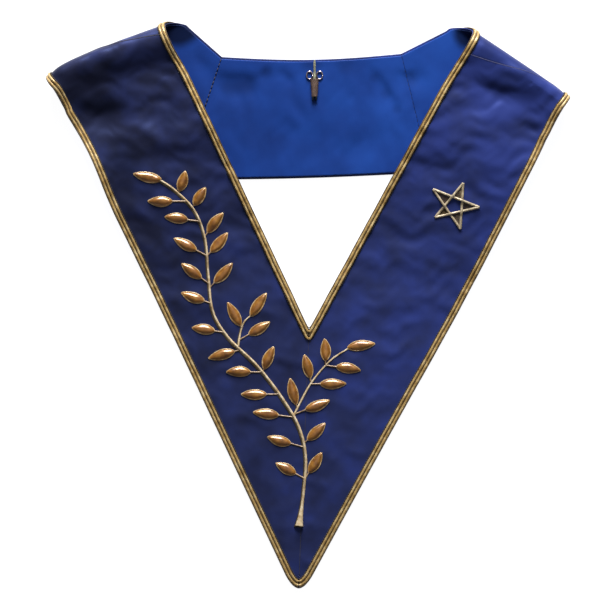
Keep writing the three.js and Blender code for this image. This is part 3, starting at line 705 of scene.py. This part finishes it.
def join_skins(skins):
    points, faces, finishes = [], [], []
    start = 0
    for skin_points, skin_faces, finish in skins:
        points.append(skin_points)
        faces += [[i + start for i in face] for face in skin_faces]
        finishes += [finish] * len(skin_faces)
        start += len(skin_points)
    return np.concatenate(points), faces, finishes


def corded(name, skins, materials):
    points, faces, finishes = join_skins(skins)
    piece = solid_mesh(name, points, faces, materials)
    piece.data.polygons.foreach_set("material_index", finishes)
    return piece


def bell(reach):
    heights = np.exp(-np.linspace(-2, 2, 2 * reach + 1) ** 2)
    return heights / heights.sum()


def evened(vectors, reach=12):
    padded = np.pad(vectors, ((reach, reach), (0, 0)), mode="edge")
    return unit(np.stack([np.convolve(padded[:, i], bell(reach), "valid") for i in range(3)], axis=1))


def edge_frames(at, reach, edge):
    inward = edge_step if edge == 0 else -edge_step
    here = at(reach, np.full_like(reach, edge), braid_start)
    inner = at(reach, np.full_like(reach, edge + inward), braid_start)
    ahead = unit(np.gradient(here, axis=0))
    inwards = inner - here
    inwards = unit(inwards - ahead * np.sum(inwards * ahead, axis=1, keepdims=True))
    above = np.cross(ahead, inwards)
    outer = at(reach, np.full_like(reach, edge), braid_start + 1) - here
    above = above * np.sign(np.sum(above * outer, axis=1, keepdims=True))
    return here, evened(inwards), evened(above)


def to_mitre(path, sign):
    onwards = np.linspace(0.5, mitre_reach, 20)[:, None]
    tail = path[-1, :3] + unit(path[-1, :3] - path[-8, :3]) * onwards
    tail = np.hstack([tail, np.repeat(path[-1:, 3:], 20, axis=0)])
    longer = np.vstack([path, tail])
    beyond = cross(sharp_tip[None, :], longer[:, :2]) * sign / np.linalg.norm(sharp_tip)
    return longer[: np.argmax(beyond < mitre_gap)] if np.any(beyond < mitre_gap) else longer


side_reach = np.concatenate([
    np.linspace(0, 1, 80), np.linspace(1, 2, 90)[1:], 2 + np.linspace(0, 1, 500)[1:]
])


def rounded_pair(edge, inset, up):
    halves = []
    for key, side in sides.items():
        here, inwards, above = edge_frames(lengths[f"arm_{key}"]["at"], side_reach, edge)
        under = tucked * smooth((tuck_from - side_reach) / tuck_run)[:, None]
        path = np.hstack([here + inwards * (inset + under) + above * up, above])
        halves.append(evenly(to_mitre(path, side["sign"]), cord_spacing))
    whole = np.vstack([halves[0], halves[1][::-1]])
    count = len(halves[0])
    reach = int(apex_rounding / cord_spacing)
    rounded = whole.copy()
    for i in range(count - 2 * reach, count + 2 * reach):
        soft = bell(reach) @ whole[i - reach : i + reach + 1]
        weight = smooth(2 - abs(i - count) / reach)
        rounded[i] = mix(whole[i], soft, weight)
    return {
        "left": evenly(rounded[:count], cord_spacing),
        "right": evenly(rounded[count:][::-1], cord_spacing),
    }


def gilt(name, colours, roughness, metallic, grain, worn=0.3, gloss=0):
    material, nodes, links, shader, place = new_finish(name, roughness, metallic)
    shader.inputs["Specular IOR Level"].default_value = 1
    shader.inputs["Specular Tint"].default_value = (1, 0.93, 0.8, 1)
    shader.inputs["Coat Weight"].default_value = gloss
    shader.inputs["Coat Roughness"].default_value = 0.3
    shader.inputs["Coat IOR"].default_value = 2.3
    spread_colours(nodes, links, shader, patches(nodes, place, grain, 4), colours)
    bumped(nodes, links, shader, patches(nodes, place, wire_grain, 2), worn, wire_depth)
    return material


braid_gold = gilt(
    "braid_gold", [(0.3, (152, 120, 66)), (0.5, (186, 154, 96)), (0.7, (214, 190, 140))], 0.36, 0.2, 5
)
# The brown and core finishes are painted shade in the braid's grooves and along its outer edge.
braid_shade_brown = gilt("braid_shade_brown", [(0.3, (58, 42, 18)), (0.6, (88, 66, 30))], 0.6, 0.1, 4)
braid_shade_core = gilt("braid_shade_core", [(0.3, (40, 28, 12)), (0.7, (66, 50, 24))], 0.8, 0, 3)
stitch_and_shadow_brown = gilt("stitch_and_shadow_brown", [(0.3, (22, 15, 12)), (0.7, (44, 31, 20))], 0.8, 0, 2)

# The stitching is real thread. It is made thick and near black so that it is also the painted shadow of
# the braid on the satin.
stitch_inset = 6.2
stitch_radius = 0.6
stitch_pitch = 2.1

for edge, edge_name in enumerate(["neck", "rim"]):
    skins = {"left": [], "right": [], "back": []}
    run = np.linspace(0, 1, 400)
    here, inwards, above = edge_frames(back_at, run, edge)
    for cord in braid_cords:
        paths = rounded_pair(edge, cord["in"], cord["up"])
        back = here + inwards * (cord["in"] + tucked) + above * cord["up"]
        paths["back"] = evenly(np.hstack([back, above]), cord_spacing)
        for key, path in paths.items():
            skin = cord_skin(path[:, :3], path[:, 3:], cord["radius"], flat=cord["flat"])
            skins[key].append((*skin, cord["finish"]))
    for key in skins:
        points, faces, finishes = join_skins(skins[key])
        points[:, 2] = settle(points[:, 2])
        finish = [braid_gold, braid_shade_brown, braid_shade_core]
        piece = solid_mesh(f"braid_{edge_name}_{key}_cords", points, faces, finish)
        piece.data.polygons.foreach_set("material_index", finishes)
        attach(piece, "root")
        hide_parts(f"braid_{edge_name}_{key}")
    for key, path in rounded_pair(edge, stitch_inset, -0.1).items():
        walked = np.arange(len(path)) * cord_spacing
        swelling = stitch_radius * (0.75 + 0.35 * np.cos(2 * math.pi * walked / stitch_pitch))
        points, faces = cord_skin(path[:, :3], path[:, 3:], swelling, around=6)
        points[:, 2] = settle(points[:, 2])
        piece = solid_mesh(f"braid_{edge_name}_{key}_stitching", points, faces, [stitch_and_shadow_brown])
        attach(piece, "root")


# Seam sewing: thread that sinks into the satin where the lengths are joined. One runs over each
# shoulder fold between the arm and the shoulder piece, one of longer stitches joins the lining of
# the back panel to each shoulder lining, and one runs down the mitre of the two arms.
# The left shoulder seam's thread is painted dark as shade in its groove. The right seam's thread is
# painted lighter as highlight. The same dark thread also sews the lining stitches and the mitre.
seam_threads = {
    "left": {"radius": 0.45, "finish": "dark", "stitch": 0.9},
    "right": {"radius": 0.35, "finish": "light", "stitch": 0.25},
}
seam_stitch = 2.6
seam_pitch = 3.8
seam_sunk = 0.1
seam_run = (0.04, 0.985)
mitre_run = (0.04, 0.9)
mitre_sunk = 0.38
mitre_thread = 0.35
sewing_pitch = 1.4
thread_finish = {
    "dark": gilt("seam_thread_dark_and_painted_shade", [(0.3, (14, 17, 44)), (0.7, (24, 30, 66))], 0.8, 0, 3),
    "light": gilt("seam_thread_painted_highlight", [(0.3, (42, 50, 102)), (0.7, (56, 66, 122))], 0.8, 0, 3),
}


def face_top(x, y):
    spot = np.stack([x, y], axis=-1)
    on_right = cross(sharp_tip, spot) > 0
    heights = [lift(side, spot @ side["up"], spot @ side["out"]) for side in (right, left)]
    return settle(np.where(on_right, *heights) + crease_at(x, y)) + face_top_height


for key, side in sides.items():
    seam = seam_threads[key]
    share = np.linspace(*seam_run, 300)
    reach = seam_reach(side, share, 0)
    path = ribbon_at(side, reach, share, face_top_height - seam_sunk)
    above = ribbon_at(side, reach, share, face_top_height + 1) - path
    skins = [(*cord_skin(path, above, seam["radius"], sewing_pitch, around=7), 0)]
    here = np.linspace(side["corner"], side["rim_corner"], 400)
    walked = np.linalg.norm(here - here[0], axis=1)
    heights = rippled(here, np.linspace(0, 1, 400), 0)
    for start in np.arange(2, walked[-1] - seam_pitch, seam_pitch):
        stitch = (walked > start) & (walked < start + seam_stitch)
        line = np.hstack([here[stitch], heights[stitch][:, None]])
        line[:, 2] += seam["stitch"] / 2 * np.sin(np.linspace(0, math.pi, len(line))) - seam_sunk
        skins.append((*cord_skin(line, upright(line), seam["stitch"] / 2, sewing_pitch, around=7), 1))
    materials = [thread_finish[seam["finish"]], thread_finish["dark"]]
    piece = corded(f"seam_{key}_sewing", skins, materials)
    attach(piece, "root")


line = sharp_tip * np.linspace(*mitre_run, 400)[:, None]
sunk = face_top(line[:, 0], line[:, 1]) - mitre_sunk
line = np.hstack([line, sunk[:, None]])
points, faces = cord_skin(line, upright(line), mitre_thread, sewing_pitch, around=7)
piece = solid_mesh("seam_mitre_sewing", points, faces, [thread_finish["dark"]])
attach(piece, "root")


# Embroidered stems: gilt cord couched on the satin in a long wave up the left arm, with a branch
# across the mitre to the right arm and a small sprig. Fine stalks carry the leaves. Under each
# stem and stalk lies a dark brown copy, shifted down and to the left, which is painted shadow.
stem_width = 2.4
root_width = 7
stalk_width = 1.15
stem_taper = 0.35
root_share = 0.07
short_stalk = 1
painted_shadow_shift = 1
leaf_length = 20
stems = {
    "main": {
        "side": left, "thickness": 1, "at": None,
        "route": [
            (-1.409, 0.75), (-1.163, 0.594), (-0.917, 0.461), (-0.684, 0.411), (-0.424, 0.432),
            (-0.082, 0.508), (0.222, 0.621), (0.446, 0.644), (0.739, 0.551), (1.03, 0.446),
            (1.27, 0.431), (1.497, 0.512), (1.61, 0.581),
        ],
    },
    "branch": {
        "side": right, "thickness": 0.75, "at": 0.284,
        "route": [
            (0, 0), (0.161, -0.006), (0.286, -0.004), (0.434, 0.019), (0.56, 0.056), (0.705, 0.134),
        ],
    },
    "sprig": {
        "side": left, "thickness": 0.7, "at": 0.508,
        "route": [(0, 0), (0.11, -0.077), (0.168, -0.138), (0.192, -0.21)],
    },
}
leaves = [
    {"stem": stem, "at": at, "lean": lean, "stalk": stalk * leaf_length, "length": length * leaf_length}
    for stem, at, lean, stalk, length in [
        ("main", 1, 53, -0.1, 1.16), ("main", 0.94, -43, 0.09, 0.85), ("main", 0.91, 65, 0.6, 1),
        ("main", 0.89, -59, 0.12, 0.85), ("main", 0.85, 58, 0.5, 0.95), ("main", 0.81, -64, 0.19, 1.03),
        ("main", 0.76, -67, 0.21, 1.05), ("main", 0.76, 37, 0.5, 1.03), ("main", 0.69, 29, 0.4, 1),
        ("main", 0.68, -68, 0.29, 1.08), ("main", 0.64, 45, 0.3, 1), ("main", 0.56, 57, 0.4, 0.94),
        ("main", 0.5, 80, 0.26, 1.1), ("main", 0.42, -49, 0.14, 0.99), ("main", 0.42, 65, 0.5, 0.99),
        ("main", 0.35, 65, 0.55, 1.03), ("main", 0.28, 58, 0.65, 1.05), ("main", 0.21, -72, 0.21, 0.99),
        ("main", 0.2, 49, 0.59, 0.99), ("main", 0.12, -58, 0.29, 0.98), ("main", 0.12, 37, 0.43, 0.92),
        ("branch", 1, 53, -0.1, 1.14), ("branch", 0.67, -31, 0.18, 0.9), ("branch", 0.67, 70, 0.44, 1),
        ("branch", 0.42, -43, 0.2, 0.98), ("branch", 0.4, 61, 0.39, 1.06),
        ("branch", 0.09, -42, 0.18, 1.09), ("branch", 0.02, 40, 0.48, 1.06),
        ("sprig", 1, -60, -0.06, 1.14), ("sprig", 0.55, 4, 0.1, 1.09), ("sprig", 0.2, -85, 0.46, 0.99),
    ]
]


def flowing(route, count=400):
    points = np.array(route, dtype=float)
    padded = np.vstack([2 * points[0] - points[1], points, 2 * points[-1] - points[-2]])
    chord = np.linalg.norm(np.diff(padded, axis=0), axis=1) ** 0.5
    knots = np.concatenate([[0], np.cumsum(chord)])
    where = np.linspace(knots[1], knots[-2], count)
    result = np.zeros((count, points.shape[1]))
    for n, t in enumerate(where):
        i = min(max(np.searchsorted(knots, t, side="right") - 1, 1), len(padded) - 3)
        p, k = padded[i - 1 : i + 3], knots[i - 1 : i + 3]
        a = [mix(p[j], p[j + 1], (t - k[j]) / (k[j + 1] - k[j])) for j in range(3)]
        b = [mix(a[j], a[j + 1], (t - k[j]) / (k[j + 2] - k[j])) for j in range(2)]
        result[n] = mix(b[0], b[1], (t - k[1]) / (k[2] - k[1]))
    return result


for stem in stems.values():
    along, across = np.array(stem["route"]).T * arm_width
    route = on_arm(stem["side"], along, across)
    if stem["at"]:
        line = stems["main"]["line"]
        route = route + line[int(round(stem["at"] * (len(line) - 1)))]
    stem["line"] = evenly(np.hstack([flowing(route), np.zeros((400, 1))]), cord_spacing)[:, :2]


def stalk_foot(leaf):
    stem = stems[leaf["stem"]]
    line = stem["line"]
    foot = line[int(round(leaf["at"] * (len(line) - 1)))]
    lean = math.radians(leaf["lean"])
    return foot, on_arm(stem["side"], math.cos(lean), math.sin(lean))


def laid_cord(line, radius, raise_by=0.55, **twist):
    x, y = line[:, 0], line[:, 1]
    centre = np.stack([x, y, face_top(x, y) + np.broadcast_to(radius, x.shape) * raise_by], axis=1)
    return cord_skin(centre, upright(centre), radius, **twist)


stem_gold = gilt(
    "stem_gold", [(0.3, (176, 144, 100)), (0.5, (212, 188, 148)), (0.7, (236, 220, 190))],
    0.3, 0.1, 4, 0.12,
)
stem_painted_shadow = gilt("stem_painted_shadow", [(0.3, (40, 32, 14)), (0.7, (72, 56, 26))], 0.6, 0, 3)
stalk_gold = gilt("stalk_gold", [(0.3, (124, 98, 74)), (0.7, (180, 152, 124))], 0.4, 0.1, 3)
for name, stem in stems.items():
    line = stem["line"]
    u = np.linspace(0, 1, len(line))
    root = np.clip(1 - u / root_share, 0, 1) ** 2 * (root_width - stem_width) if name == "main" else 0
    half_width = (stem["thickness"] * stem_width * (1 - stem_taper * u) + root) / 2
    # The second cord of each pair, dark and shifted down and left, is painted shadow.
    skins = [
        (*laid_cord(line, half_width, 0.35, flat=0.8, around=12), 0),
        (*laid_cord(line - painted_shadow_shift, half_width, 0.1, flat=0.5, around=12), 1),
    ]
    for leaf in leaves:
        if leaf["stem"] == name and leaf["stalk"] > short_stalk:
            foot, way = stalk_foot(leaf)
            stalk = foot + way * np.linspace(0, leaf["stalk"] + 1, 24)[:, None]
            stalk_painted_shadow = stalk - painted_shadow_shift / 2
            skins.append((*laid_cord(stalk, stalk_width / 2, 0.5, pitch=1.6, around=8), 2))
            skins.append((*laid_cord(stalk_painted_shadow, stalk_width / 2, 0.1, flat=0.5, around=8), 1))
    piece = corded(f"stem_{name}_cord", skins, [stem_gold, stem_painted_shadow, stalk_gold])
    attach(piece, "root")
    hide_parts(f"stem_{name}")


# Leaves: each is worked over its own pad with gilt wire laid side by side across it, so it stands
# up in the middle and is ridged from side to side. A fine cord edges it.
leaf_width = 8
leaf_height = 2.1
leaf_raised = 0.1
leaf_tip = 0.03
leaf_bend = 0.5
ridge_pitch = 0.95
ridge_slant = 0.55
ridge_height = 0.1
leaf_rounding = 2.6
leaf_rows = 60
leaf_columns = 17
leaf_cord = 0.95
leaf_cord_spacing = 0.7

leaf_gold = gilt(
    "leaf_gold", [(0.3, (126, 74, 12)), (0.5, (160, 100, 20)), (0.7, (190, 130, 40))],
    0.3, 0.35, 5, 0.15, 0.45,
)
leaf_edge = gilt(
    "leaf_edge", [(0.3, (158, 122, 70)), (0.5, (194, 160, 108)), (0.7, (220, 194, 148))],
    0.3, 0.1, 4, 0.1,
)
for number, leaf in enumerate(leaves, 1):
    foot, way = stalk_foot(leaf)
    stalk, length = leaf["stalk"], leaf["length"]
    over = np.array([-way[1], way[0]])
    u = np.linspace(0, 1, leaf_rows)[:, None]
    v = np.linspace(-1, 1, leaf_columns)[None, :]
    belly = np.maximum(leaf_tip, np.sin(math.pi * u**0.85) ** 0.78)
    bend = leaf_bend * math.sin(number * 2.4) * np.sin(math.pi * u)
    level = (
        foot + way * (stalk + length * u[..., None]) * np.ones_like(v)[..., None]
        + over * (leaf_width / 2 * belly * v + bend)[..., None]
    )
    slanting = ridge_slant * leaf_width * np.abs(v)
    ridges = np.abs(np.sin(math.pi * (length * u + slanting) / ridge_pitch))
    dome = 1 - np.abs(v) ** leaf_rounding
    height = leaf_height * np.maximum(0.25, belly**0.6) * dome + ridge_height * (ridges - 0.6) * dome
    base = face_top(level[..., 0], level[..., 1])
    upper = np.concatenate([level, (base + leaf_raised + height)[..., None]], axis=-1)
    lower = np.concatenate([level, (base + leaf_raised / 2)[..., None]], axis=-1)
    top, edge = grid(leaf_rows, leaf_columns)
    points = np.concatenate([upper.reshape(-1, 3), lower.reshape(-1, 3)[edge]])
    below = leaf_rows * leaf_columns + np.arange(len(edge))
    wall = np.stack([edge, np.roll(edge, -1), np.roll(below, -1), below], axis=1)
    faces = np.concatenate([top[:, [0, 3, 2, 1]], wall]).tolist() + [below.tolist()]
    outline = np.vstack([level[:, -1], level[::-1, 0]])
    outline = evenly(np.hstack([outline, np.zeros((len(outline), 1))]), leaf_cord_spacing)[:, :2]
    cord = laid_cord(outline, leaf_cord / 2, 0.5, depth=0, around=6)
    skins = [(points, faces, 0), (*cord, 1)]
    piece = corded(f"leaf_{number:02d}_worked", skins, [leaf_gold, leaf_edge])
    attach(piece, "root")
    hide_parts(f"leaf_{number:02d}")


# Star: one fine gilt cord couched from tip to tip in five straight runs, each going over one of its
# neighbours and under the next. Dark brown threads laid across the five tips are painted shade
# between the cords.
star_cord = 2.2
star_weave = 0.9
weave_at = 0.38
weave_run = 0.09
star_along = 0.526
star_across = 0.552
star_reach = 20
star_threads = 13
star_thread = 0.75
star_tips = [(-4.6, 1.02), (68.4, 0.975), (143, 1.095), (212, 0.93), (284.3, 1)]

star_gold = gilt("star_gold", [(0.3, (150, 134, 108)), (0.7, (206, 190, 160))], 0.35, 0.15, 3, 0.12)
star_tip_painted_shade = gilt("star_tip_painted_shade", [(0.3, (54, 40, 16)), (0.7, (92, 70, 30))], 0.6, 0.1, 2)
star_centre = on_arm(right, star_along * arm_length, star_across * arm_width)
tips = []
for angle, reach in star_tips:
    way = np.array([math.cos(math.radians(angle)), math.sin(math.radians(angle))])
    tips.append(star_centre + star_reach * reach * way)
skins = []
for i, tip in enumerate(tips):
    line = evenly(np.hstack([np.array([tip, tips[(i + 2) % 5]]), np.zeros((2, 1))]), 0.4)[:, :2]
    u = np.linspace(0, 1, len(line))
    x, y = line[:, 0], line[:, 1]
    arch = star_weave * np.exp(-(((u - weave_at) / weave_run) ** 2))
    centre = np.stack([x, y, face_top(x, y) + star_cord * 0.3 + arch], axis=1)
    skins.append((*cord_skin(centre, upright(centre), star_cord / 2 * 0.95, flat=0.85, around=10), 0))
for i, tip in enumerate(tips):
    after, *far_tips, before = [tips[(i + n) % 5] for n in range(1, 5)]
    run = before - after
    feet = [mix(tip, end, cross(after - tip, run) / cross(end - tip, run)) for end in far_tips]
    for thread in np.linspace(0.2, 1, star_threads):
        ends = [mix(tip, foot, thread) for foot in feet]
        stitch = mix(ends[0], ends[1], np.linspace(0, 1, 8)[:, None])
        skins.append((*laid_cord(stitch, star_thread / 2, 0.1, depth=0, around=6), 1))
star = corded("star_cords", skins, [star_gold, star_tip_painted_shade])
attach(star, "root")
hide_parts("star")


# Hook: a sewn-on wire hook at the middle of the back neck edge, for hanging the collar's jewel or
# pinning it to the coat. It is one plated wire with two eyes, a doubled shank and a bill.
hook_wire = 1.2
eye_radius = 2.5
eye_spacing = 4.1
hook_shank = 19
hook_bill = 8
hook_top = 2
hook_tip = 1.3
hook_inset = 13
hook_along = 0.517

steel, nodes, links, shader, place = new_finish("hook_steel", 0.28, 1)
steel_colours = [(0.3, (150, 128, 132)), (0.7, (214, 204, 208))]
spread_colours(nodes, links, shader, patches(nodes, place, 2.5), steel_colours)
dark_steel = gilt("hook_dark_steel", [(0.3, (22, 34, 38)), (0.7, (44, 58, 62))], 0.35, 0.6, 2)

neck_middle = back_at(np.array([hook_along]), np.array([0.0]), 0)[0]
wire_level = stack_height + layer_gap + hook_wire / 2


def beside_eyes(points):
    return np.array(points, dtype=float) + [neck_middle[0], neck_middle[1] - hook_inset, wire_level]


bend = hook_wire * 1.1
skins = []
for sign in (-1, 1):
    turn = np.linspace(0, 2 * math.pi, 49)
    eye = np.stack([
        sign * eye_spacing + eye_radius * np.cos(turn), 1.25 * eye_radius * np.sin(turn), 0 * turn
    ], axis=1)
    shank = flowing([
        (sign * (eye_spacing - eye_radius * 0.8), -eye_radius * 0.7, 0),
        (sign * hook_top, -eye_radius * 1.8, 0),
        (sign * (hook_top + hook_tip) / 2, -hook_shank * 0.6, 0),
        (sign * hook_tip, -hook_shank, 0), (sign * hook_tip, -hook_shank - bend, bend),
        (sign * hook_tip, -hook_shank, 1.7 * bend), (0, -hook_shank + hook_bill, 1.6 * bend),
    ], 120)
    for finish, run in enumerate((eye, shank)):
        path = beside_eyes(run)
        upward = upright(path) + [0.02, 0.03, 0]
        radius = hook_wire / 2 * (1 + finish / 3)
        skins.append((*cord_skin(path, upward, radius, depth=0, around=12), finish))
hook = corded("neck_hook_wire", skins, [steel, dark_steel])
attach(hook, "root")
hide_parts("neck_hook")


# Hook thread: strands of button thread that run from the neck edge, between the eyes and over the
# top of the shank, where they are wound round it and fastened off.
thread_radius = 0.35
thread_pitch = 1.2
thread_strands = 4
strand_spacing = 0.42
thread_turns = 21
winding_run = (-3.6, -17.4)
winding_reach = (3.1, 2.1)

thread_grey = gilt("thread_grey", [(0.3, (70, 76, 62)), (0.7, (150, 150, 124))], 0.8, 0, 1)
thread_brown = gilt("thread_brown", [(0.3, (70, 48, 44)), (0.7, (112, 88, 78))], 0.8, 0, 2)
skins = []
for strand in range(thread_strands):
    offset = (strand - (thread_strands - 1) / 2) * strand_spacing
    rise = 0.35 + 0.25 * (strand % 2)
    path = flowing([
        (offset * 0.6, hook_inset - 0.4, -0.5), (offset, hook_inset - 4, rise - 0.5),
        (offset * 0.8, 4, rise - 0.4), (offset, 1, rise), (offset, -1.5, rise + 0.9),
        (offset * 0.9, -5, rise + 0.9),
    ], 80)
    path = beside_eyes(path)
    skins.append((*cord_skin(path, upright(path), thread_radius, thread_pitch, around=7), 0))
for turn_number in range(thread_turns):
    turn = np.linspace(0, 2 * math.pi, 33)
    down = turn_number / (thread_turns - 1)
    y = mix(*winding_run, down)
    wide = mix(*winding_reach, down)
    loop = np.stack([wide * np.cos(turn), y + 0.15 * np.sin(turn), 1.3 + 2.1 * np.sin(turn)], axis=1)
    path = beside_eyes(loop)
    upward = np.tile([0.0, 1.0, 0.0], (len(path), 1))
    skins.append((*cord_skin(path, upward, thread_radius, thread_pitch, around=7), 1))
thread = corded("hook_thread_winding", skins, [thread_grey, thread_brown])
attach(thread, "root")
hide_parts("hook_thread")
